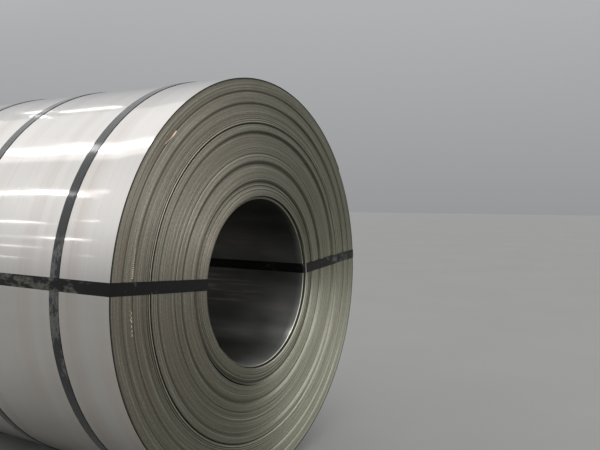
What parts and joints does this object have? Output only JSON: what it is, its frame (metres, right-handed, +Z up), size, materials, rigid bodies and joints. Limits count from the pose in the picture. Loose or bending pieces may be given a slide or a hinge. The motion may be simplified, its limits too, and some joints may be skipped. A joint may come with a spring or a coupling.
{
  "type": "steel coil",
  "caption": "Coil of bright stainless steel strip on its side, with a round bore, stepped turns on its ends, and dark steel straps round the belly and through the eye.",
  "frame": {"origin": "on the axis of the bore, halfway along the strip's nominal width", "axes": "+X along the bore axis, out of the end that the picture shows; +Z up; +Y to the right as seen from that end"},
  "size_m": [1.2386, 1.2324, 1.2296],
  "materials": {
    "stainless_strip": "bright cold rolled",
    "strapping": "black lacquer, scuffed",
    "seal": "dark zinc and paint",
    "interleaf_paper": "brown kraft, torn"
  },
  "bodies": {
    "root": {"coil": "stainless_strip", "belly_strap_front": "strapping", "belly_strap_middle": "strapping", "belly_strap_rear": "strapping", "eye_strap_left": "strapping", "eye_strap_right": "strapping", "belly_seal_front": "seal", "belly_seal_middle": "seal", "belly_seal_rear": "seal", "eye_seal_left": "seal", "eye_seal_right": "seal", "paper_flake": "interleaf_paper", "paper_edge_upper": "interleaf_paper", "paper_edge_lower": "interleaf_paper"}
  },
  "joints": []
}
